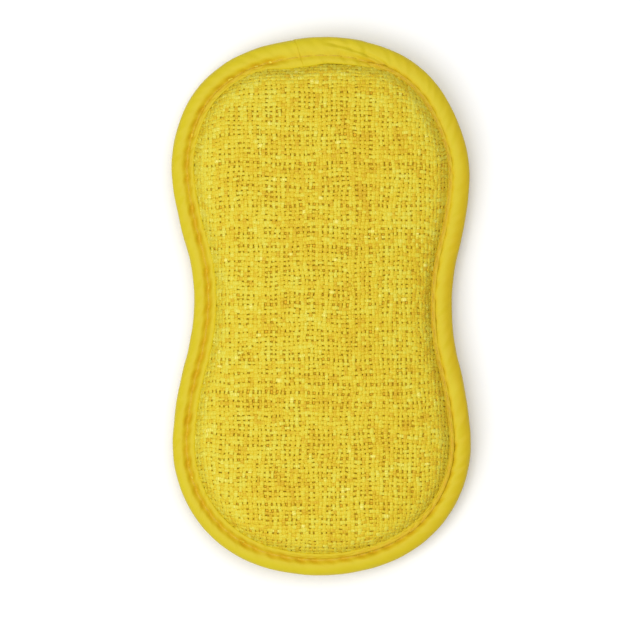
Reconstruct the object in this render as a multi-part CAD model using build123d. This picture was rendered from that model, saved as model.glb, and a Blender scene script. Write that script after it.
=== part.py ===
from build123d import *
from math import asin, atan2, degrees, hypot, sqrt
import os

# Waisted scouring pad. It lies on its back with the scouring face up.
# X across the pad, Y along it, Z up. The origin is the middle of the flat underside.
# All sizes are in millimetres.

# Outline, measured over the edge binding
pad_length = 176.0
pad_width = 98.0  # across each lobe
waist_width = 84.0
end_radius = 66.3  # shallow arc across each end
corner_radius = 42.3  # round corner of each lobe
flank_radius = 122.3  # lobe running into the waist
waist_radius = 65.0  # hollow side of the waist

# Thickness
pad_height = 20.0
seam_height = 9.5  # the plane where the two covers meet
face_shoulder = 13.0  # from the foot of the crown to its flat top
back_shoulder = 12.0
face_cloth = 1.3  # woven face, two yarns thick
back_cloth = 1.5  # looped microfibre
cover_ease = 0.12  # between the foam and each cover

# Edge binding: a tape folded over the rims of both covers
tape = 0.9  # both layers of the doubled tape
tape_reach = 6.9  # from the outer edge to the tape's inner lip
tape_ease = 0.1  # between the tape and the covers' rims
crown_foot = 7.3  # from the outer edge to where the covers rise
bead_radius = 2.0  # round outer corners of the folded tape
lip_radius = 0.4
groove_inset = 4.4  # the seam's groove, from the outer edge
groove_radius = 1.5
groove_depth = 0.35
overlap_layer = 0.45  # the tape's end, lying over its beginning
overlap_left = 10.0
overlap_right = 14.0

# Lockstitch
thread = 0.5
stitch_pitch = 5.3
stitch_length = 4.0
thread_ease = 0.03

flat_run = 1.0  # level strip where a shoulder joins the flat middle


def meet(a, ra, b, rb):
    """The point at ra from a and rb from b, on the left of the way from a to b."""
    gap = hypot(b[0] - a[0], b[1] - a[1])
    along = (ra * ra - rb * rb + gap * gap) / (2 * gap)
    off = sqrt(ra * ra - along * along)
    ex, ey = (b[0] - a[0]) / gap, (b[1] - a[1]) / gap
    return (a[0] + along * ex - off * ey, a[1] + along * ey + off * ex)


def bearing(a, b):
    return degrees(atan2(b[1] - a[1], b[0] - a[0]))


# Centres of the four arcs of one quarter. Each arc is tangent to the next.
end_centre = (0.0, pad_length / 2 - end_radius)
corner_x = pad_width / 2 - corner_radius
corner_y = end_centre[1] + sqrt((end_radius - corner_radius) ** 2 - corner_x**2)
corner_centre = (corner_x, corner_y)
waist_centre = (waist_width / 2 + waist_radius, 0.0)
flank_centre = meet(
    waist_centre, waist_radius + flank_radius, corner_centre, flank_radius - corner_radius
)


def outline(inset):
    """The closed outline, moved inwards by inset."""
    hollow = bearing(waist_centre, flank_centre) % 360
    flank = bearing(flank_centre, waist_centre)
    corner = bearing(flank_centre, corner_centre)
    end = bearing(end_centre, corner_centre)
    quarter = [
        CenterArc(waist_centre, waist_radius + inset, 180, hollow - 180),
        CenterArc(flank_centre, flank_radius - inset, flank, corner - flank),
        CenterArc(corner_centre, corner_radius - inset, corner, end - corner),
        CenterArc(end_centre, end_radius - inset, end, 90 - end),
    ]
    half = quarter + [arc.mirror(Plane.YZ) for arc in quarter]
    return Wire(half + [arc.mirror(Plane.XZ) for arc in half])


def band(section):
    """Lead a section round the edge. Its x runs inwards and its y upwards from the seam."""
    path = outline(0).moved(Location((0, 0, seam_height)))
    start, ahead = path @ 0, path % 0
    inward = Vector(0, 0, 1).cross(ahead)
    if inward.dot(Vector(start.X, start.Y, 0)) > 0:
        ahead, inward = -ahead, -inward
    plane = Plane(origin=start, x_dir=inward, z_dir=ahead)
    return sweep(plane * section, path=path)


def slab(inset, low, high):
    """The outline moved inwards, between two heights above the seam."""
    flat = Pos(0, 0, seam_height + low) * make_face(outline(inset))
    return extrude(flat, amount=high - low, dir=(0, 0, 1))


def block(x0, x1, y0, y1):
    return Pos((x0 + x1) / 2, (y0 + y1) / 2) * Rectangle(x1 - x0, y1 - y0)


def shoulder(depth, run, rise, side):
    """Quarter of an ellipse that rises from the crown's foot. depth is how far it is inside."""
    middle = crown_foot + run
    whole = Pos(middle, 0) * Ellipse(run - depth, rise - depth)
    low, high = sorted((0, side * (rise - depth)))
    return (whole & block(crown_foot, middle, low, high)) + block(
        middle, middle + flat_run, low, high
    )


def cover(cloth, run, rise, side):
    """A cover: its rim lies flat in the tape, then it rises over the foam."""
    rim_start = tape + tape_ease
    low, high = (0, cloth) if side > 0 else (-cloth, 0)
    section = shoulder(0, run, rise, side) - shoulder(cloth, run, rise, side)
    section += block(rim_start, crown_foot + cloth, low, high)
    outer, inner = sorted((side * rise, side * (rise - cloth)))
    return band(section) + slab(crown_foot + run + flat_run / 2, outer, inner)


face_rise = pad_height - seam_height
back_rise = seam_height
scour_cover = cover(face_cloth, face_shoulder, face_rise, 1)
back_cover = cover(back_cloth, back_shoulder, back_rise, -1)

# Foam: fills the space between the covers
face_gap = face_cloth + cover_ease
back_gap = back_cloth + cover_ease
core_reach = crown_foot + max(face_shoulder, back_shoulder) + flat_run
foam_section = (
    shoulder(face_gap, face_shoulder, face_rise, 1)
    + shoulder(back_gap, back_shoulder, back_rise, -1)
    + block(crown_foot + face_shoulder, core_reach, 0, face_rise - face_gap)
    + block(crown_foot + back_shoulder, core_reach, back_gap - back_rise, 0)
)
foam_core = band(foam_section) + slab(
    core_reach - flat_run / 2, back_gap - back_rise, face_rise - face_gap
)

# Binding: arms above and below the rims, a round bead outside and a groove for the seam
arm_top = face_cloth + tape_ease + tape
arm_low = -(back_cloth + tape_ease + tape)


def folded(grow, skin):
    """The tape's section. grow moves its surface out and skin is its depth inside the fold."""
    body = block(-grow, tape_reach, arm_low - grow, arm_top + grow)
    outer = [v for v in body.vertices() if v.X < tape_reach / 2]
    body = fillet(outer, bead_radius + grow)
    inner = [v for v in body.vertices() if v.X > tape_reach - 0.01]
    body = fillet(inner, lip_radius)
    for y, side in ((arm_top + grow, 1), (arm_low - grow, -1)):
        centre = y + side * (groove_radius - groove_depth)
        body -= Pos(groove_inset, centre) * Circle(groove_radius)
    return body - block(skin, tape_reach + 1, arm_low + skin, arm_top - skin)


# The tape's end lies over its beginning at one end of the pad
lap_angles = [degrees(asin(side / end_radius)) for side in (overlap_left, overlap_right)]
lap_plane = Plane(
    origin=(0, pad_length / 2, seam_height), x_dir=(0, -1, 0), z_dir=(-1, 0, 0)
)
lap_axis = Axis((0, end_centre[1], 0), (0, 0, -1))
lap_face = (lap_plane * folded(overlap_layer, tape / 2)).rotate(lap_axis, -lap_angles[0])
lap = revolve(lap_face, axis=lap_axis, revolution_arc=sum(lap_angles))
edge_binding = band(folded(0, tape)) + lap


def stitches(side):
    """Short lengths of thread in the groove, above the seam or below it."""
    line = outline(groove_inset)
    count = round(line.length / stitch_pitch)
    straight = Cylinder(thread / 2, stitch_length - thread)
    ends = [Pos(0, 0, z * (stitch_length - thread) / 2) * Sphere(thread / 2) for z in (-1, 1)]
    stitch = straight + ends
    surface = arm_top if side > 0 else -arm_low
    row = []
    for i in range(count):
        place = line ^ ((i + 0.5) / count)
        x, y = place.position.X, place.position.Y
        lapped = y > 0 and -overlap_left - stitch_length / 2 < x < overlap_right + stitch_length / 2
        rise = surface - groove_depth + thread_ease + thread / 2
        rise += overlap_layer if lapped else 0
        row.append(Pos(0, 0, seam_height + side * rise) * place * stitch)
    return Compound(row)


needle_thread = stitches(1)
bobbin_thread = stitches(-1)

os.makedirs("parts", exist_ok=True)
for name, piece in (
    ("foam_core", foam_core),
    ("scour_cover", scour_cover),
    ("back_cover", back_cover),
    ("edge_binding", edge_binding),
    ("needle_thread", needle_thread),
    ("bobbin_thread", bobbin_thread),
):
    export_step(piece, f"parts/{name}.step")
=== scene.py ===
import math

import bmesh
import bpy
import numpy as np
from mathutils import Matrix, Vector, noise
from mathutils.bvhtree import BVHTree


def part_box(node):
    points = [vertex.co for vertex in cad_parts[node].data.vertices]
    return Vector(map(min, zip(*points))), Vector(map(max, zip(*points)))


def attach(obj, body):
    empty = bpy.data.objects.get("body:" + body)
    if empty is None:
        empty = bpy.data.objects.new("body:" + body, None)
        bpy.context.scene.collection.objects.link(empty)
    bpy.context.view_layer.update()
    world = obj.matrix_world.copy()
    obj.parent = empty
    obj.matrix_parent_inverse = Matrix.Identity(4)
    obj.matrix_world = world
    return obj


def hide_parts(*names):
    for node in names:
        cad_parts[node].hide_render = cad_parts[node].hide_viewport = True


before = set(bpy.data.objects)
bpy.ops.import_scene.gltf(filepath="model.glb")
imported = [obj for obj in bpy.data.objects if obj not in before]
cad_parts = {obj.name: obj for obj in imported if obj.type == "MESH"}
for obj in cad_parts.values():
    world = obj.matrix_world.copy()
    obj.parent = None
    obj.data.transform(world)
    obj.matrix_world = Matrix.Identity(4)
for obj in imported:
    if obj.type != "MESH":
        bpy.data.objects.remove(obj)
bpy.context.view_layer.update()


# ---------------------------------------------------------------- foam core
# A block of soft open-cell polyurethane foam, cut to the pad's waisted outline. The covers are
# sewn together round it, so its edges are squeezed and its faces crown. It is the darker ground
# that shows through the holes of the woven face.

mm = 0.001
half_length = 88.0 * mm
half_width = 49.0 * mm
half_waist = 42.0 * mm
end_radius = 66.3 * mm
corner_radius = 42.3 * mm
flank_radius = 122.3 * mm
waist_radius = 65.0 * mm
seam_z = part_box("scour_cover")[0][2]  # the plane where the two covers meet
crown_foot = 7.3 * mm  # from the pad's edge to where the covers rise


def bearing(a, b):
    return math.atan2(b[1] - a[1], b[0] - a[0])


def meet(a, ra, b, rb):
    """The point at ra from a and rb from b, on the left of the way from a to b."""
    gap = math.dist(a, b)
    along = (ra * ra - rb * rb + gap * gap) / (2 * gap)
    off = math.sqrt(ra * ra - along * along)
    ex, ey = (b[0] - a[0]) / gap, (b[1] - a[1]) / gap
    return (a[0] + along * ex - off * ey, a[1] + along * ey + off * ex)


end_centre = (0.0, half_length - end_radius)
corner_x = half_width - corner_radius
corner_centre = (
    corner_x,
    end_centre[1] + math.sqrt((end_radius - corner_radius) ** 2 - corner_x**2),
)
waist_centre = (half_waist + waist_radius, 0.0)
flank_centre = meet(
    waist_centre, waist_radius + flank_radius, corner_centre, flank_radius - corner_radius
)
hollow_from = math.pi
hollow_to = bearing(waist_centre, flank_centre)
flank_from = bearing(flank_centre, waist_centre)
corner_from = bearing(flank_centre, corner_centre)
end_from = bearing(end_centre, corner_centre)
# The arcs of one quarter, from the waist to the end: centre, radius, first bearing, last bearing
quarter_arcs = (
    (waist_centre, -waist_radius, hollow_from, hollow_to),
    (flank_centre, flank_radius, flank_from, corner_from),
    (corner_centre, corner_radius, corner_from, end_from),
    (end_centre, end_radius, end_from, math.pi / 2),
)
quarter_length = sum(abs(r * (last - first)) for _, r, first, last in quarter_arcs)
perimeter = 4 * quarter_length
# Sewing pulls the edge in and lets it out a little: place, half-width and height of each bulge
bulges = (
    (0.0, 0.05, 0.8 * mm),
    (0.13, 0.035, -1.2 * mm),
    (0.275, 0.025, -0.4 * mm),
    (0.345, 0.025, 0.6 * mm),
    (0.465, 0.045, -0.9 * mm),
    (0.6, 0.05, -0.5 * mm),
    (0.8, 0.03, -0.3 * mm),
)


def edge_point(way, inset):
    """The point of the outline at a share of the way round, moved inwards, and its outward normal.

    The way starts at the right of the waist and runs anticlockwise, so the far end is at 0.25.
    """
    way %= 1.0
    quarter, along = divmod(way * perimeter, quarter_length)
    if quarter % 2:
        along = quarter_length - along
    for centre, radius, first, last in quarter_arcs:
        length = abs(radius * (last - first))
        if along <= length or centre is end_centre:
            break
        along -= length
    turn = first + (last - first) * min(along / length, 1.0)
    side = 1 if radius > 0 else -1
    normal = (side * math.cos(turn), side * math.sin(turn))
    for place, width, height in bulges:
        off = (way - place + 0.5) % 1.0 - 0.5
        inset -= height * math.exp(-((off / width) ** 2))
    reach = abs(radius) - side * inset
    x = centre[0] + reach * math.cos(turn)
    y = centre[1] + reach * math.sin(turn)
    sx = -1 if quarter in (1, 2) else 1
    sy = -1 if quarter in (2, 3) else 1
    return Vector((sx * x, sy * y)), Vector((sx * normal[0], sy * normal[1]))


ring_ways = np.arange(900) / 900
ring = np.array([[*edge_point(way, 0)[0], *edge_point(way, 0)[1]] for way in ring_ways])


def place_on(x, y):
    """How far each point lies inside the outline, and its share of the way round."""
    x, y = np.ravel(x), np.ravel(y)
    near = np.empty(len(x), int)
    for i in range(0, len(x), 4000):
        part = slice(i, i + 4000)
        gaps = (x[part, None] - ring[:, 0]) ** 2 + (y[part, None] - ring[:, 1]) ** 2
        near[part] = gaps.argmin(1)
    px, py, nx, ny = ring[near].T
    return -((x - px) * nx + (y - py) * ny), ring_ways[near]


def tape_reach(way):
    """How far in the tape reaches: wider where its ends overlap, narrower on the right."""
    reach = 7.3 - 0.2 * math.cos(math.tau * way)
    off = (way - 0.25 + 0.5) % 1.0 - 0.5
    lap = 1.5 * math.exp(-((off / 0.042) ** 4)) + 0.7 * math.exp(-(((off - 0.02) / 0.018) ** 4))
    return (reach + lap) * mm


def smooth_step(value, low, high):
    t = min(max((value - low) / (high - low), 0.0), 1.0)
    return t * t * (3 - 2 * t)


def place_object(name, data):
    """Put a new object with this mesh, curve, light or camera into the scene."""
    made = bpy.data.objects.new(name, data)
    bpy.context.scene.collection.objects.link(made)
    return made


foam = place_object("foam_block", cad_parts["foam_core"].data.copy())
bm = bmesh.new()
bm.from_mesh(foam.data)
bmesh.ops.remove_doubles(bm, verts=bm.verts, dist=0.01 * mm)
bm.to_mesh(foam.data)
bm.free()


def finish_modifiers(piece):
    """Replace a piece's mesh with what its modifiers make of it."""
    graph = bpy.context.evaluated_depsgraph_get()
    graph.update()
    made = bpy.data.meshes.new_from_object(piece.evaluated_get(graph), depsgraph=graph)
    piece.modifiers.clear()
    old, piece.data = piece.data, made
    made.name = piece.name
    bpy.data.meshes.remove(old)


foam_grain = 3.2 * mm  # between the points that the foam swells by
remesh = foam.modifiers.new("remesh", "REMESH")
remesh.mode = "VOXEL"
remesh.voxel_size = foam_grain
finish_modifiers(foam)

# The seam holds the foam's rim where the tape's inner edge runs
foam_back = 1.6 * mm  # the back cover's thickness, below the foam
rim_tuck = 2.3 * mm  # how far the foam's rim runs in under the tape
rim_rise = 0.9 * mm  # how thick it is there, above and below the seam's plane
rim_slope = 1.9  # how steeply its faces rise from there
rim_held = 2.4 * mm  # how far in from the covers' foot the seam still holds it
squeezed = 26 * mm  # from the pad's edge, where the squeeze has died out
pressed_flat = 0.93  # of its cut height, before it swells
insets, ways = place_on(*np.array([v.co[:2] for v in foam.data.vertices]).T)
pins = foam.vertex_groups.new(name="seam")
for v, inset, way in zip(foam.data.vertices, insets, ways):
    squeeze = tape_reach(way) - rim_tuck - crown_foot
    normal = edge_point(way, 0)[1]
    fade = 1 - smooth_step(inset, crown_foot, squeezed)
    v.co.xy -= normal * squeeze * fade
    v.co.z = seam_z + (v.co.z - seam_z) * pressed_flat
    if inset < crown_foot + rim_held:
        pins.add([v.index], 1.0, "REPLACE")

# Inside the sewn cover the foam swells like a cushion, by no more than swell_cap
swell_cap = 2.2 * mm
swell_frames = 20
before = [v.co.copy() for v in foam.data.vertices]
cloth = foam.modifiers.new("swell", "CLOTH")
cloth.settings.quality = 6
cloth.settings.mass = 0.2
cloth.settings.tension_stiffness = 12
cloth.settings.compression_stiffness = 12
cloth.settings.shear_stiffness = 4
cloth.settings.bending_stiffness = 0.8
cloth.settings.vertex_group_mass = "seam"
cloth.settings.use_pressure = True
cloth.settings.uniform_pressure_force = 4
cloth.settings.effector_weights.gravity = 0
cloth.point_cache.frame_start = 1
cloth.point_cache.frame_end = swell_frames
for step in range(1, swell_frames + 1):
    bpy.context.scene.frame_set(step)
finish_modifiers(foam)
bpy.context.scene.frame_set(1)
for v, start in zip(foam.data.vertices, before):
    move = v.co - start
    if move.length > swell_cap:
        v.co = start + move * (swell_cap / move.length)
    v.co.z = max(v.co.z, foam_back)

sub = foam.modifiers.new("round", "SUBSURF")
sub.levels = sub.render_levels = 1
finish_modifiers(foam)
# Beside the tape's inner lip the foam comes up at a slope, level with the lip
insets, ways = place_on(*np.array([v.co[:2] for v in foam.data.vertices]).T)
for v, inset, way in zip(foam.data.vertices, insets, ways):
    room = rim_rise + rim_slope * max(inset - tape_reach(way), 0.0)
    v.co.z = min(max(v.co.z, seam_z - room), seam_z + room)


def smooth_shading(mesh):
    for polygon in mesh.polygons:
        polygon.use_smooth = True


smooth_shading(foam.data)


def linear(colour):
    """An sRGB hex colour as the linear values that shaders use."""
    parts = [int(colour[i : i + 2], 16) / 255 for i in (1, 3, 5)]
    return [c / 12.92 if c <= 0.04045 else ((c + 0.055) / 1.055) ** 2.4 for c in parts] + [1.0]


def node(material, kind, feeds=None, **settings):
    """Add one node. feeds gives a socket or value for an input, settings what has a plain name."""
    made = material.node_tree.nodes.new(kind)
    for name, value in settings.items():
        if hasattr(made, name):
            setattr(made, name, value)
        else:
            made.inputs[name.replace("_", " ")].default_value = value
    for name, source in (feeds or {}).items():
        if isinstance(source, bpy.types.NodeSocket):
            material.node_tree.links.new(source, made.inputs[name])
        else:
            made.inputs[name].default_value = source
    return made


def new_material(name, **finish):
    """A material whose shader has the finish's values, each named as its input is."""
    material = bpy.data.materials.new(name)
    material.use_nodes = True
    shader = material.node_tree.nodes["Principled BSDF"]
    for setting, value in finish.items():
        shader.inputs[setting.replace("_", " ")].default_value = value
    return material


def dress(piece, material, colour, bump=None):
    """Feed a colour and a bump to a material's shader, and give the material to a piece."""
    shader = material.node_tree.nodes["Principled BSDF"]
    material.node_tree.links.new(colour.outputs[0], shader.inputs["Base Color"])
    if bump:
        material.node_tree.links.new(bump.outputs[0], shader.inputs["Normal"])
    piece.data.materials.clear()
    piece.data.materials.append(material)


# Open-cell polyurethane foam: cut through its bubbles, so it is matt and pitted all over.
foam_cell = 0.6 * mm
polyurethane = new_material("polyurethane_foam", Roughness=0.92, IOR=1.5)
place = node(polyurethane, "ShaderNodeTexCoord").outputs["Object"]
cells = node(
    polyurethane, "ShaderNodeTexVoronoi", {"Vector": place}, Scale=1 / foam_cell, Randomness=1.0
)
tone = node(polyurethane, "ShaderNodeValToRGB", {"Fac": cells.outputs["Distance"]})
tone.color_ramp.elements[0].position = 0.15
tone.color_ramp.elements[0].color = linear("#E8BE20")
tone.color_ramp.elements[1].position = 0.7
tone.color_ramp.elements[1].color = linear("#DBAA16")
bump = node(
    polyurethane,
    "ShaderNodeBump",
    {"Height": cells.outputs["Distance"]},
    Strength=0.6,
    Distance=-0.15 * mm,
)
dress(foam, polyurethane, tone, bump)
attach(foam, "root")
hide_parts("foam_core")


# ---------------------------------------------------------------- woven scouring face
# An open plain weave of slubby polypropylene yarn, one end over and one under, with holes between
# the yarns. It is stretched over the foam and its cut edge runs into the edge tape.

yarn_pitch = 1.52 * mm
yarn_width = 1.42 * mm
yarn_height = 0.46 * mm
yarn_sides = 5
yarn_steps = 3  # points from one crossing to the next
# Painted shade: each yarn's underside and sides are coloured darker than its crown
painted_flank_shade = (-0.5, -0.34, 0.05, 0.05, -0.34)  # round a yarn, from its underside
ply_pitch = 0.62 * mm  # along the yarn, from one twisted ply to the next
crimp = 0.1 * mm  # how far a yarn rises and falls as it passes over and under
weave_depth = 0.31 * mm  # the weave's middle, above the foam
yarn_tuck = 5.0 * mm  # where the yarns end, inside the tape
lip_deep, lip_shallow = 0.9 * mm, 0.3 * mm  # inside the tape's lip, where the covers come free
steepest = 1.0  # the open weave is pulled wider on steeper ground

grid_step = 0.75 * mm  # of the grid that the cloth's lie is worked out on
grid_x = np.arange(-68, 69) * grid_step
grid_y = np.arange(-124, 125) * grid_step
mesh_x, mesh_y = np.meshgrid(grid_x, grid_y)
depth = place_on(mesh_x, mesh_y)[0].reshape(mesh_x.shape)

foam_tree = BVHTree.FromObject(foam, bpy.context.evaluated_depsgraph_get())


def blurred(grid, rounds):
    for _ in range(rounds):
        padded = np.pad(grid, 1, mode="edge")
        grid = (padded[:-2, 1:-1] + 2 * padded[1:-1, 1:-1] + padded[2:, 1:-1]) / 4
        padded = np.pad(grid, 1, mode="edge")
        grid = (padded[1:-1, :-2] + 2 * padded[1:-1, 1:-1] + padded[1:-1, 2:]) / 4
    return grid


def foam_height(side):
    """The foam's face at each grid point: its top for side 1, its underside for side -1."""
    heights = np.full(mesh_x.shape, float(seam_z))
    rays = zip(np.ravel(mesh_x), np.ravel(mesh_y), np.ravel(depth))
    for i, (x, y, inset) in enumerate(rays):
        if inset > yarn_tuck:
            hit = foam_tree.ray_cast(Vector((x, y, seam_z + side * 0.1)), Vector((0, 0, -side)))[0]
            if hit:
                heights.flat[i] = hit.z
    return blurred(heights, 2)


def sample(grid, x, y):
    """The grid's value at any points, by straight interpolation."""
    u = np.clip((x - grid_x[0]) / grid_step, 0, len(grid_x) - 1.001)
    v = np.clip((y - grid_y[0]) / grid_step, 0, len(grid_y) - 1.001)
    i, j = u.astype(int), v.astype(int)
    u, v = u - i, v - j
    low = grid[j, i] * (1 - u) + grid[j, i + 1] * u
    high = grid[j + 1, i] * (1 - u) + grid[j + 1, i + 1] * u
    return low * (1 - v) + high * v


face_height = foam_height(1)
slope_y, slope_x = np.gradient(face_height, grid_step)


def cloth_length(slope, axis):
    """How much cloth lies between the middle line and each grid point, along one axis."""
    stretch = np.sqrt(1 + np.clip(slope, -steepest, steepest) ** 2) * grid_step
    total = np.cumsum(stretch, axis=axis)
    middle = stretch.shape[axis] // 2
    return total - np.take(total, [middle], axis=axis)


across = cloth_length(slope_x, 1)
along = cloth_length(slope_y, 0)

rng = np.random.default_rng(7)
ends = np.arange(-38, 39)  # warp yarns, along the pad
picks = np.arange(-68, 69)  # weft yarns, across it
crossings = (len(picks), len(ends))
uneven = 0.18 * mm  # how far a whole yarn lies off its place
jitter = 0.15 * mm  # and each crossing
long_wave, long_sway = 16 * mm, 0.75 * mm
short_wave, short_sway = 5 * mm, 0.5 * mm
want_a = np.tile(ends * yarn_pitch + rng.normal(0, uneven, len(ends)), (len(picks), 1))
want_b = np.tile(picks * yarn_pitch + rng.normal(0, uneven, len(picks)), (len(ends), 1)).T


def drift(x, y, seed, span, size):
    """Slow bending of the yarns' lines, in place of perfectly straight ones."""
    made = np.empty(x.shape)
    for i, (px, py) in enumerate(zip(x.flat, y.flat)):
        made.flat[i] = noise.noise(Vector((px / span, py / span, seed)))
    return made * size


want_a = want_a + drift(want_a, want_b, 3.1, long_wave, long_sway)
want_b = want_b + drift(want_a, want_b, 8.7, long_wave, long_sway)
want_a = want_a + drift(want_a, want_b, 1.9, short_wave, short_sway)
want_a += rng.normal(0, jitter, crossings)
want_b = want_b + drift(want_a, want_b, 6.3, short_wave, short_sway)
want_b += rng.normal(0, jitter, crossings)
# Each crossing is moved until the cloth between it and the middle lines has the right length
cross_x, cross_y = want_a.copy(), want_b.copy()
for _ in range(14):
    cross_x += 0.7 * (want_a - sample(across, cross_x, cross_y))
    cross_y += 0.7 * (want_b - sample(along, cross_x, cross_y))
    cross_x = np.clip(cross_x, grid_x[0], grid_x[-1])
    cross_y = np.clip(cross_y, grid_y[0], grid_y[-1])
tilt_x = sample(slope_x, cross_x, cross_y)
tilt_y = sample(slope_y, cross_x, cross_y)
cross_depth, cross_way = (part.reshape(crossings) for part in place_on(cross_x, cross_y))
stand = weave_depth * np.minimum(np.sqrt(1 + tilt_x**2 + tilt_y**2), 1.8)
cross_z = sample(face_height, cross_x, cross_y) + stand
# The weave's rim lies flat inside the tape and comes out from under its inner lip
reaches = np.array([tape_reach(way) for way in cross_way.flat]).reshape(crossings)
out = np.clip((cross_depth - reaches + lip_deep) / (lip_deep - lip_shallow), 0, 1)
cross_z = out * cross_z + (1 - out) * (seam_z + rim_rise)

# Each float has its own tone. The cloth is fluffier along its rim, and painted light makes it paler
# there, most of all at the left shoulder, which faces the key light; a few floats in a thousand get
# a painted glint.
painted_light_reach, painted_light_gain, most_lit_way = 8 * mm, 0.24, 0.42
fluff_reach = 4 * mm
patch_span, patch_gain = 9 * mm, 0.16
tone_middle, tone_spread, tone_limit = 0.34, 0.2, 0.8
painted_glint_share = 0.006
from_tape = np.maximum(cross_depth - reaches, 0)
# Painted light: paler towards the rim, most of all at the left shoulder
painted_light_rim = np.exp(-from_tape / painted_light_reach)
painted_light_rim *= 0.55 + 0.45 * np.cos(math.tau * (cross_way - most_lit_way))
fluffy = 0.6 * painted_light_rim + 0.8 * np.exp(-from_tape / fluff_reach)
patchy = drift(cross_x, cross_y, 5.5, patch_span, patch_gain)
float_tones = []
for _ in range(2):
    tones = tone_middle + patchy + painted_light_gain * painted_light_rim + rng.normal(0, tone_spread, crossings)
    tones = np.clip(tones, 0, tone_limit)
    # Painted glints: a few floats in a thousand take the brightest tone
    float_tones.append(np.where(rng.random(crossings) < painted_glint_share, 1.0, tones))


# A yarn's thickness varies from yarn to yarn and along it, as shares of its width. The spans are
# counted in crossings.
fat_spread, fluff_gain, crimp_spread = 0.06, 0.22, 0.6
slub_span, slub_gain = 6, 0.2
knot_span, knot_gain = 1.1, 0.42


def yarn_line(places, heights, lean, tones, fluff, over, seed):
    """One yarn through its crossings: points, radii, tilts and tones. over is 0 if it starts up."""
    index = np.arange(len(heights))
    spots = np.arange((len(heights) - 1) * yarn_steps + 1) / yarn_steps
    at_crossings = (heights, lean, tones, fluff)
    height, lean, tone, fluff = (np.interp(spots, index, value) for value in at_crossings)
    x, y = (np.interp(spots, index, value) for value in places)
    swing = np.interp(spots, index, rng.normal(1, crimp_spread, len(index)))
    rise = np.cos(np.pi * (spots + over)) * crimp * swing
    fat = 1 + rng.normal(0, fat_spread) + fluff_gain * fluff
    for i, spot in enumerate(spots):
        slub = noise.noise(Vector((spot / slub_span, seed * 17.31, 0.5)))
        knot = noise.noise(Vector((spot / knot_span, seed * 17.31, 4.5)))
        fat[i] += slub_gain * slub + knot_gain * knot
    return np.stack([x, y, height + rise, np.ones(len(spots))], 1), fat, lean, tone


def yarn_lines(is_warp):
    """Every yarn of one set, in runs that start and end inside the tape."""
    lines = []
    lean_of = -tilt_x if is_warp else tilt_y
    tones = float_tones[0 if is_warp else 1]
    for n in range(len(ends) if is_warp else len(picks)):
        row = (slice(None), n) if is_warp else (n, slice(None))
        inside = np.flatnonzero(cross_depth[row] > yarn_tuck)
        for run in np.split(inside, np.flatnonzero(np.diff(inside) > 1) + 1):
            if len(run) < 4:
                continue
            places = (cross_x[row][run], cross_y[row][run])
            lean = np.arctan(lean_of[row][run])
            over = (run[0] + n + (0 if is_warp else 1)) % 2
            seed = n + (0.2 if is_warp else 200.7)
            heights = cross_z[row][run]
            looks = (tones[row][run], fluffy[row][run])
            lines.append(yarn_line(places, heights, lean, *looks, over, seed))
    return lines


def curve_mesh(name, data):
    """The mesh that a bevelled curve makes."""
    carrier = place_object(name, data)
    graph = bpy.context.evaluated_depsgraph_get()
    made = bpy.data.meshes.new_from_object(carrier.evaluated_get(graph), depsgraph=graph)
    bpy.data.objects.remove(carrier)
    made.name = name
    return made


def yarn_piece(name, lines):
    """All yarns of one set as one mesh of flattened tubes, with tone and twist as attributes."""
    profile = bpy.data.curves.new("profile", "CURVE")
    loop = profile.splines.new("POLY")
    loop.points.add(yarn_sides - 1)
    for i, point in enumerate(loop.points):
        turn = math.tau * (i / yarn_sides + 0.75)
        point.co = (yarn_width / 2 * math.cos(turn), yarn_height / 2 * math.sin(turn), 0, 1)
    loop.use_cyclic_u = True
    shape = place_object("profile", profile)
    data = bpy.data.curves.new(name, "CURVE")
    data.dimensions = "3D"
    data.twist_mode = "Z_UP"
    data.bevel_mode = "OBJECT"
    data.bevel_object = shape
    for points, fat, lean, _ in lines:
        spline = data.splines.new("POLY")
        spline.points.add(len(points) - 1)
        spline.points.foreach_set("co", points.ravel())
        spline.points.foreach_set("radius", fat)
        spline.points.foreach_set("tilt", lean)
        spline.use_smooth = True
    made = curve_mesh(name, data)
    bpy.data.objects.remove(shape)
    ring_tones = np.concatenate([tone for _, _, _, tone in lines])
    made.attributes.new("tone", "FLOAT", "POINT")
    tones = np.repeat(ring_tones, yarn_sides) + np.tile(painted_flank_shade, len(ring_tones))
    made.attributes["tone"].data.foreach_set("value", tones)
    rings = np.concatenate([np.arange(len(tone)) for _, _, _, tone in lines])
    twist = np.repeat(rings * yarn_pitch / yarn_steps / ply_pitch, yarn_sides)
    twist += np.tile(np.arange(yarn_sides) / yarn_sides, len(rings))
    made.attributes.new("twist", "FLOAT", "POINT")
    made.attributes["twist"].data.foreach_set("value", twist)
    bm = bmesh.new()
    bm.from_mesh(made)
    bmesh.ops.holes_fill(bm, edges=[e for e in bm.edges if e.is_boundary], sides=yarn_sides)
    bm.to_mesh(made)
    bm.free()
    return place_object(name, made)


warp = yarn_piece("scour_warp", yarn_lines(True))
weft = yarn_piece("scour_weft", yarn_lines(False))

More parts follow.
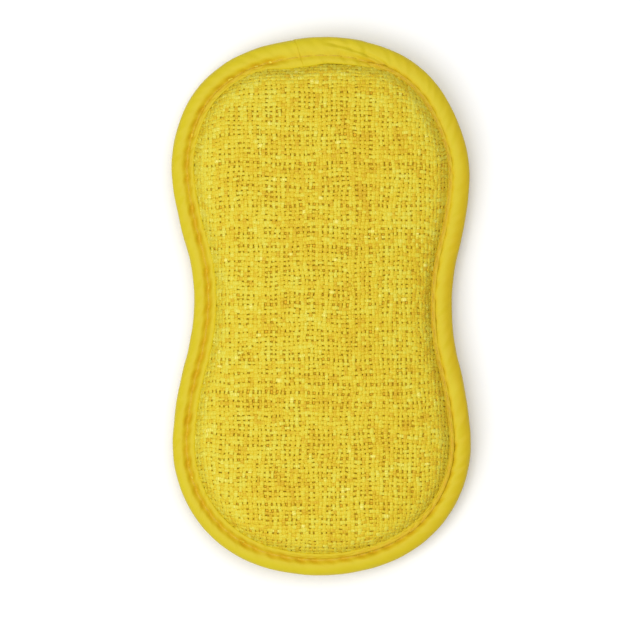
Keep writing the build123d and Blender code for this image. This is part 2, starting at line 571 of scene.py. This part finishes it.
# Polypropylene yarn: spun from fine filaments and plied. Painted shade leaves it bright on its
# crown and deep gold at its sides, and darkens it between the slanting plies. Every float has its
# own tone, with a hairy grain over it, and painted light pales the rim. The grain is drawn coarser
# than the real filaments, so that it shows.
polypropylene = new_material(
    "polypropylene_yarn",
    Roughness=0.55,
    Specular_IOR_Level=0.3,
    Sheen_Weight=0.2,
    Sheen_Roughness=0.5,
    Sheen_Tint=linear("#E8D45A"),
)
place = node(polypropylene, "ShaderNodeTexCoord").outputs["Object"]
tone = node(polypropylene, "ShaderNodeAttribute", attribute_name="tone").outputs["Fac"]
twist = node(polypropylene, "ShaderNodeAttribute", attribute_name="twist").outputs["Fac"]
turn = node(polypropylene, "ShaderNodeMath", {0: twist, 1: math.tau}, operation="MULTIPLY")
ply = node(polypropylene, "ShaderNodeMath", {0: turn.outputs[0]}, operation="SINE").outputs[0]
hairs_per_mm = 3.6
hair = node(
    polypropylene, "ShaderNodeTexNoise", {"Vector": place}, Scale=hairs_per_mm / mm, Detail=3.0
)
ply_share, relief_shade_share, middle_relief = 0.3, 0.45, 0.22
relief = node(
    polypropylene,
    "ShaderNodeMath",
    {0: ply, 1: ply_share, 2: hair.outputs["Fac"]},
    operation="MULTIPLY_ADD",
)
# Painted shade: the ply relief also darkens the colour between the plies; the hairy grain is the
# yarn's own
streaked = node(
    polypropylene,
    "ShaderNodeMath",
    {0: relief.outputs[0], 1: relief_shade_share, 2: tone},
    operation="MULTIPLY_ADD",
)
shaded = node(
    polypropylene,
    "ShaderNodeMath",
    {0: streaked.outputs[0], 1: middle_relief},
    operation="SUBTRACT",
)
ramp = node(polypropylene, "ShaderNodeValToRGB", {"Fac": shaded.outputs[0]})
shades = ramp.color_ramp.elements
shades[0].color = linear("#CDA40C")
shades[1].color = linear("#F2E270")
shades.new(0.42).color = linear("#DCC422")
shades.new(0.78).color = linear("#DAD046")
shades.new(0.86).color = linear("#DAD046")
bump = node(
    polypropylene, "ShaderNodeBump", {"Height": relief.outputs[0]}, Strength=0.6, Distance=0.12 * mm
)
for piece in (warp, weft):
    dress(piece, polypropylene, ramp, bump)
    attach(piece, "root")
    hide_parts("scour_cover")


# ---------------------------------------------------------------- microfibre back
# A knitted polyester microfibre cloth with a short looped pile, sewn into the same seam. It is
# the wiping side and it lies flat on the table in the middle.

pile_clump = 1.35 * mm
pile_height = 0.45 * mm
pile_share = 1.35  # of a clump's half width, where its loop meets the ground
pile_sway = 6 * mm
back_gap = 0.9 * mm  # from the foam's underside to the cloth's face
back_thick = 0.5 * mm
back_trim = 4 * mm  # the cloth's grid starts this far inside the pad's box
back_tuck = 5.0 * mm  # where the cloth ends, inside the tape
pile_from, pile_full = 6.8 * mm, 8.5 * mm  # its loops stand up from the tape's inner lip on
lowest = 0.02 * mm  # above the table
back_height = foam_height(-1)
bm = bmesh.new()
bmesh.ops.create_grid(bm, x_segments=180, y_segments=330, size=0.5)
for v in bm.verts:
    v.co.x *= 2 * (half_width - back_trim)
    v.co.y *= 2 * (half_length - back_trim)
places = np.array([v.co[:2] for v in bm.verts])
insets, ways = place_on(places[:, 0], places[:, 1])
floor_line = sample(back_height, places[:, 0], places[:, 1])
outside = []
pile_shade_layer = bm.verts.layers.float.new("pile")
for v, inset, way, level in zip(bm.verts, insets, ways, floor_line):
    if inset < back_tuck:
        outside.append(v)
        continue
    spot = v.co / pile_clump
    gaps = noise.voronoi(Vector((spot.x, spot.y, 0.3)))[0]
    loop = 1 - min(gaps[0] * pile_share, 1.0)
    sway = noise.noise(Vector((v.co.x / pile_sway, v.co.y / pile_sway, 2.0)))
    out = pile_height * (loop + 0.35 * sway) * smooth_step(inset, pile_from, pile_full)
    # The loop's height is kept to paint shade into the ground between the loops
    v[pile_shade_layer] = loop
    lip = tape_reach(way)
    under_lip = 1 - smooth_step(inset, lip - lip_deep, lip - lip_shallow)
    base = level - back_gap
    base += (seam_z - rim_rise - base) * under_lip
    v.co.z = max(base - out, lowest)
bmesh.ops.delete(bm, geom=outside, context="VERTS")
bmesh.ops.reverse_faces(bm, faces=bm.faces)


def bmesh_piece(name, bm):
    """Put a finished bmesh into the scene as a piece."""
    mesh = bpy.data.meshes.new(name)
    bm.to_mesh(mesh)
    bm.free()
    return place_object(name, mesh)


back = bmesh_piece("microfibre_back", bm)
smooth_shading(back.data)
thick = back.modifiers.new("thickness", "SOLIDIFY")
thick.thickness = back_thick
thick.offset = -1.0

# Polyester microfibre: split fibres finer than silk in short loops, so it is matt and velvety.
# Painted shade leaves it lighter on the tips of the loops and darker in the ground between them.
microfibre = new_material(
    "polyester_microfibre",
    Roughness=0.95,
    Sheen_Weight=0.4,
    Sheen_Roughness=0.6,
    Sheen_Tint=linear("#E8D45A"),
    Specular_IOR_Level=0.2,
)
place = node(microfibre, "ShaderNodeTexCoord").outputs["Object"]
pile = node(microfibre, "ShaderNodeAttribute", attribute_name="pile").outputs["Fac"]
ramp = node(microfibre, "ShaderNodeValToRGB", {"Fac": pile})
ramp.color_ramp.elements[0].position = 0.05
ramp.color_ramp.elements[0].color = linear("#C8AA1A")
ramp.color_ramp.elements[1].position = 0.75
ramp.color_ramp.elements[1].color = linear("#E4D23C")
nap_per_mm = 3.0  # coarser than the real nap, so that it shows
nap = node(microfibre, "ShaderNodeTexNoise", {"Vector": place}, Scale=nap_per_mm / mm, Detail=3.0)
bump = node(
    microfibre, "ShaderNodeBump", {"Height": nap.outputs["Fac"]}, Strength=0.7, Distance=0.15 * mm
)
dress(back, microfibre, ramp, bump)
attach(back, "root")
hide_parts("back_cover")


# ---------------------------------------------------------------- edge binding
# One satin-faced polyester tape with both edges turned under, folded over the rims of the covers.
# It starts at the far end, runs right round, and its end laps over its beginning.

arm_top = 2.3 * mm  # above the seam plane
arm_low = 2.5 * mm  # below it
tape_thick = 0.42 * mm
bead_share = 0.6  # where the round outer bead is highest, between the edge and the groove
groove_depth = 0.6 * mm
dent_depth = 0.7 * mm  # where each stitch pulls the tape in
dent_lean = 4.5 * mm  # the dents slant by one stitch over this much of the width
dent_half = 0.38  # of the way from one stitch to the next
groove_half = 1.0 * mm
lip_radius = 0.36 * mm
turned_under = 1.3 * mm
end_slant = 2.7 * mm / perimeter
lap_lift = 0.5 * mm  # how high the lapping end lies above the tape's beginning
stitch_pitch = 5.3 * mm
tape_step = 0.66 * mm  # between the mesh's cross-sections
lap_from = 0.25 - 14 * mm / perimeter  # the tape's beginning, under the lap
lap_to = 1.25 + 9 * mm / perimeter  # its end, on top
stitches = round(perimeter / stitch_pitch)
# Places off the far end's middle, along the tape: the doubled stretch, the step down from the lap
# and the fold across it
lap_comes, lap_goes = (-17 * mm, -12 * mm), (11 * mm, 17 * mm)
lift_starts = (1.25 - 16 * mm / perimeter, 1.25 - 13 * mm / perimeter)
fold_comes, fold_goes = (0 * mm, 5 * mm), (21 * mm, 28 * mm)
fold_depth, fold_half = 0.6 * mm, 0.5 * mm
ridge_height, ridge_half, ridge_off = 0.3 * mm, 0.7 * mm, 1.1 * mm
rumple_pitch, rumple_height = 7 * mm, 0.2 * mm
crease_pitch, crease_height = 2.4 * mm, 0.26 * mm
# Painted shade on the tape: its right flank, turned from the key light, and the band along its
# groove are coloured a deeper gold
right_shade_from, right_shade_to = 1 * mm, 4.5 * mm  # the right flank is a deeper gold, out from here
groove_shade_half = 1.3 * mm  # of the gold band along the groove


def groove_place(way):
    """How far in the seam runs: close to the tape's inner edge on the right of the pad."""
    turn = math.tau * way
    return (5.6 + 0.85 * math.cos(turn) + 0.45 * math.sin(turn)) * mm


def bead_curve(bead, arm):
    """How much of the tape's width goes over one quarter of the bead."""
    return math.pi / 2 * math.hypot(bead, arm) / math.sqrt(2)


def tape_section(span, reach, arm, groove, dent):
    """A point of the tape's upper or lower half. span is how far it is along the tape's width.

    It starts at the outer edge, passes over the bead and the seam's groove, and turns under.
    """
    bead = bead_share * groove
    curve = bead_curve(bead, arm)
    if span < curve:
        turn = span / curve * math.pi / 2
        return bead * (1 - math.cos(turn)), arm * math.sin(turn)
    u = bead + span - curve
    flat_end = reach - lip_radius
    if u < flat_end:
        dip = math.exp(-(((u - groove) / groove_half) ** 2))
        fade = smooth_step(u, bead, bead + 0.8 * mm)
        swell = math.sin(math.pi * min(max((u - groove) / max(flat_end - groove, 0.1 * mm), 0), 1))
        return u, arm - dent * dip * fade + 0.2 * mm * swell
    turn = (u - flat_end) / lip_radius
    if turn < math.pi:
        return flat_end + lip_radius * math.sin(turn), arm - lip_radius * (1 - math.cos(turn))
    return flat_end - (u - flat_end - math.pi * lip_radius), arm - 2 * lip_radius


middle_bead = bead_share * groove_place(0.25)
tape_half = bead_curve(middle_bead, arm_top) - middle_bead + tape_reach(0.27)
tape_half += (math.pi - 1) * lip_radius + turned_under
tape_length = (lap_to - lap_from) * perimeter
along_count = round(tape_length / tape_step)
across_count = 60
bm = bmesh.new()
bm.loops.layers.uv.new("strip")
bmesh.ops.create_grid(
    bm, x_segments=along_count, y_segments=across_count, size=0.5, calc_uvs=True
)
painted_shade_layer = bm.verts.layers.float.new("shade")
for v in bm.verts:
    way = lap_from + (lap_to - lap_from) * (v.co.x + 0.5)
    side = 1 if v.co.y > 0 else -1
    arm = arm_top if side > 0 else arm_low
    reach = tape_reach(way)
    groove = groove_place(way)
    bead = bead_share * groove
    half = bead_curve(bead, arm) - bead + reach + (math.pi - 1) * lip_radius + turned_under
    span = abs(v.co.y) * 2 * half
    # The tape was cut at a slant, so its end leans
    way -= end_slant * span / half * smooth_step(v.co.x + 0.5, 0.975, 1.0)
    # The groove is shallow where the tape's ends lap, and dimpled where the needle went through
    off = ((way - 0.25 + 0.5) % 1.0 - 0.5) * perimeter
    lap = smooth_step(off, *lap_comes) * (1 - smooth_step(off, *lap_goes))
    beat = (way * stitches + (span - bead_curve(bead, arm) + bead - groove) / dent_lean) % 1.0
    near_hole = math.exp(-((min(beat, 1 - beat) / dent_half) ** 2))
    tug = 0.5 + noise.noise(Vector((way * stitches * 0.7, side, 3.0)))
    dent = (groove_depth + dent_depth * near_hole * (0.4 + tug)) * (1 - 0.7 * lap)
    u, z = tape_section(span, reach, arm, groove, dent)
    over = smooth_step(way, *lift_starts)
    u -= over * 0.2 * mm * math.exp(-((u / bead) ** 2))
    z += over * lap_lift * smooth_step(z, 0.2 * mm, 1.2 * mm)
    soft = smooth_step(z, 0.3 * mm, 1.6 * mm)
    # A long slanting fold runs over the lap, from the outer edge to the inner lip
    if side > 0:
        line = 1.6 * mm + 0.15 * max(-off, 0.0)
        fold = smooth_step(-off, *fold_comes) * (1 - smooth_step(-off, *fold_goes))
        z -= fold_depth * fold * soft * math.exp(-(((u - line) / fold_half) ** 2))
        z += ridge_height * fold * soft * math.exp(-(((u - line - ridge_off) / ridge_half) ** 2))
    rumple = noise.noise(Vector((way * perimeter / rumple_pitch, v.co.y * 5, 1.0)))
    crease = noise.noise(Vector((way * perimeter / crease_pitch + v.co.y * 9, v.co.y * 3, 5.0)))
    z += (rumple_height * rumple + crease_height * crease * (0.5 + near_hole)) * soft
    u += 0.12 * mm * rumple * (1 - soft)
    # Painted shade: a deeper gold in the groove, strongest at the stitch dents and weaker where the
    # ends lap, and on the right flank
    dent_shade = 0.4 + 0.6 * near_hole * (0.4 + tug)
    right_flank_shade = 0.5 * max(math.cos(math.tau * way), 0) * (1 - smooth_step(u, right_shade_from, right_shade_to))
    v[painted_shade_layer] = right_flank_shade + dent_shade * math.exp(-(((u - groove) / groove_shade_half) ** 2)) * (1 - 0.7 * lap)
    spot = edge_point(way, u)[0]
    v.co = Vector((spot.x, spot.y, seam_z + side * z))

tape = bmesh_piece("edge_tape", bm)
smooth_shading(tape.data)
thick = tape.modifiers.new("thickness", "SOLIDIFY")
thick.thickness = tape_thick
thick.offset = -1.0

# Polyester satin tape: a smooth face of fine threads that run across it, lemon, with painted shade
# that turns it a deeper gold along the stitched groove and on the right flank. The threads are
# drawn coarse enough to show.
satin_thread, satin_slub = 0.35 * mm, 2.5 * mm
satin = new_material(
    "polyester_satin_tape",
    Roughness=0.52,
    Specular_IOR_Level=0.22,
    Sheen_Weight=0.1,
    Sheen_Tint=linear("#E8D45A"),
)
place = node(satin, "ShaderNodeTexCoord").outputs["Object"]
# The shade attribute holds the painted shade of the groove and of the right flank
groove = node(satin, "ShaderNodeAttribute", attribute_name="shade").outputs["Fac"]
blotches_per_mm, blotch_share = 0.16, 0.35
blotch = node(
    satin, "ShaderNodeTexNoise", {"Vector": place}, Scale=blotches_per_mm / mm, Detail=3.0
)
mixed = node(
    satin, "ShaderNodeMath", {0: blotch.outputs["Fac"], 1: blotch_share}, operation="MULTIPLY"
)
total = node(satin, "ShaderNodeMath", {0: mixed.outputs[0], 1: groove}, operation="ADD")
ramp = node(satin, "ShaderNodeValToRGB", {"Fac": total.outputs[0]})
ramp.color_ramp.elements[0].position = 0.08
ramp.color_ramp.elements[0].color = linear("#CFBE1E")
ramp.color_ramp.elements[1].position = 1.0
ramp.color_ramp.elements[1].color = linear("#CBA512")
strip = node(satin, "ShaderNodeUVMap", uv_map="strip").outputs["UV"]
thread_counts = (tape_length / satin_thread, 2 * tape_half / satin_slub, 1)
stretched = node(satin, "ShaderNodeMapping", {"Vector": strip, "Scale": thread_counts})
threads = node(
    satin, "ShaderNodeTexNoise", {"Vector": stretched.outputs[0]}, Scale=1.0, Detail=3.0
)
bump = node(
    satin, "ShaderNodeBump", {"Height": threads.outputs["Fac"]}, Strength=0.5, Distance=0.1 * mm
)
dress(tape, satin, ramp, bump)
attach(tape, "root")
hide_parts("edge_binding")


# ---------------------------------------------------------------- lockstitch
# Polyester sewing thread. Each stitch lies in the tape's groove and dives at both ends through
# the tape and the covers, where the needle thread and the bobbin thread hook round each other.

thread_radius = 0.17 * mm
thread_rounding = 2  # how finely its tube is divided

# Polyester thread: spun and twisted, so it is mottled a little darker and lighter along its length.
sewing = new_material("polyester_thread", Roughness=0.45)
place = node(sewing, "ShaderNodeTexCoord").outputs["Object"]
plies_per_mm = 2.6
ply = node(sewing, "ShaderNodeTexNoise", {"Vector": place}, Scale=plies_per_mm / mm, Detail=2.0)
ramp = node(sewing, "ShaderNodeValToRGB", {"Fac": ply.outputs["Fac"]})
ramp.color_ramp.elements[0].position = 0.35
ramp.color_ramp.elements[0].color = linear("#C6A214")
ramp.color_ramp.elements[1].position = 0.65
ramp.color_ramp.elements[1].color = linear("#D6B51E")

# One stitch: its share of the way to the next hole, and its height over the tape in mm
stitch_shape = ((0.0, -1.5), (0.03, -0.6), (0.1, -0.1), (0.3, 0.0), (0.5, 0.03), (0.7, 0.0))
stitch_shape += ((0.9, -0.1), (0.97, -0.6))
tape_tree = BVHTree.FromObject(tape, bpy.context.evaluated_depsgraph_get())
for name, cad_node, side in (
    ("needle_seam", "needle_thread", 1),
    ("bobbin_seam", "bobbin_thread", -1),
):
    data = bpy.data.curves.new(name, "CURVE")
    data.dimensions = "3D"
    data.bevel_depth = thread_radius
    data.bevel_resolution = thread_rounding
    spline = data.splines.new("POLY")
    spline.points.add(stitches * len(stitch_shape) - 1)
    for i, point in enumerate(spline.points):
        stitch, part = divmod(i, len(stitch_shape))
        share, height = stitch_shape[part]
        way = (stitch + share) / stitches
        spot = edge_point(way, groove_place(way))[0]
        above = Vector((spot.x, spot.y, seam_z + side * 0.1))
        level = tape_tree.ray_cast(above, Vector((0, 0, -side)))[0].z
        point.co = (spot.x, spot.y, level + side * height * mm, 1)
    spline.use_cyclic_u = True
    seam = place_object(name, curve_mesh(name, data))
    dress(seam, sewing, ramp)
    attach(seam, "root")
    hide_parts(cad_node)


# ---------------------------------------------------------------- table, light and camera
# A plain white table, an even white surround and two large soft lights. The camera looks straight
# down from far off through a long lens, so the outline has almost no perspective.

table_half = 3.0
bm = bmesh.new()
bmesh.ops.create_grid(bm, x_segments=1, y_segments=1, size=table_half)
floor = bmesh_piece("table", bm)
white = new_material("white_board", Base_Color=linear("#FAFAFA"), Roughness=0.9)
floor.data.materials.append(white)

world = bpy.data.worlds.new("surround")
bpy.context.scene.world = world
world.use_nodes = True
background = world.node_tree.nodes["Background"]
background.inputs["Color"].default_value = linear("#FFFFFF")
background.inputs["Strength"].default_value = 0.3


def soft_light(name, place, size, power):
    """A square area light that faces the pad: its place and size in metres, its power in watts."""
    data = bpy.data.lights.new(name, "AREA")
    data.shape = "SQUARE"
    data.size = size
    data.energy = power
    light = place_object(name, data)
    light.location = place
    light.rotation_euler = (-Vector(place)).to_track_quat("-Z", "Y").to_euler()


soft_light("key", (-0.62, -0.5, 1.3), 1.1, 12.3)
soft_light("overhead", (0.1, 0.3, 1.6), 1.1, 14.2)

view_width = 209.2 * mm
view_middle = (-0.31 * mm, -4.49 * mm)
lens = 200.0
film_width = 36.0
camera_data = bpy.data.cameras.new("camera")
camera_data.lens = lens
camera_data.sensor_width = film_width
camera = place_object("camera", camera_data)
camera.location = (*view_middle, seam_z + view_width * lens / film_width)
bpy.context.scene.camera = camera
bpy.context.scene.view_settings.view_transform = "Standard"
